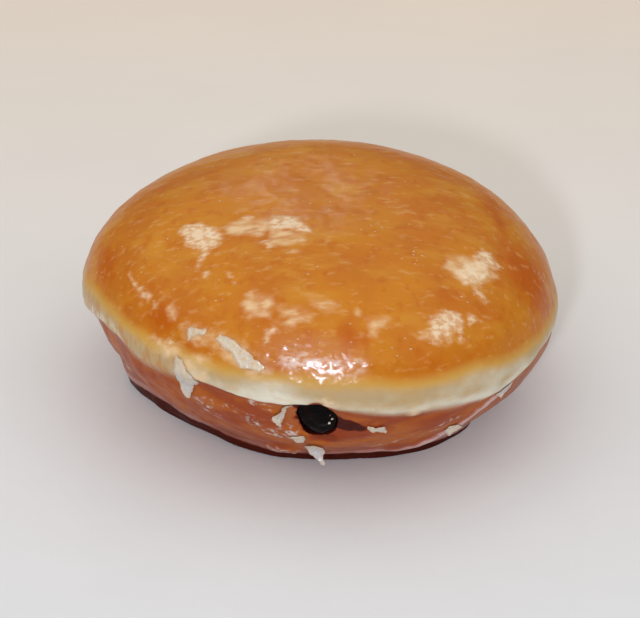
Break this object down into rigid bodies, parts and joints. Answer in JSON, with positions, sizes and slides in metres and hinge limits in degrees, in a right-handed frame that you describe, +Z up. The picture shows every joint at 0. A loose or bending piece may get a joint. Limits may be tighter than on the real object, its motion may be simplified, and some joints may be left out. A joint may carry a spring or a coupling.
{
  "type": "filled doughnut",
  "caption": "Round yeast-raised doughnut with no hole through it: flattened glazed dome over a pale waist band, rounded lower side, and a jam-filled injection hole in the side.",
  "frame": {"origin": "on the surface the doughnut rests on, below the middle of its outline", "axes": "+Z up, -Y towards the side with the filling hole, +X to the right as seen from that side"},
  "size_m": [0.092, 0.0884, 0.044],
  "materials": {
    "glazed_crust": "fried crust under a thin clear sugar glaze: golden brown dome, pale cream band at the waist, reddish brown lower side",
    "jam": "wet, nearly black purple berry jam",
    "dried_glaze": "dried sugar glaze, white and slightly translucent"
  },
  "bodies": {
    "root": {"dough": "glazed_crust", "jam_filling": "jam", "hanging_glaze_flake": "dried_glaze", "glaze_chip_below_hole": "dried_glaze", "glaze_curl_left_of_hole": "dried_glaze", "glaze_chip_right_of_hole": "dried_glaze", "glaze_drip_left": "dried_glaze", "glaze_strip_peeling": "dried_glaze", "glaze_chip_on_left_shoulder": "dried_glaze", "glaze_chip_on_right_rim": "dried_glaze", "glaze_chip_lower_right": "dried_glaze"}
  },
  "joints": []
}
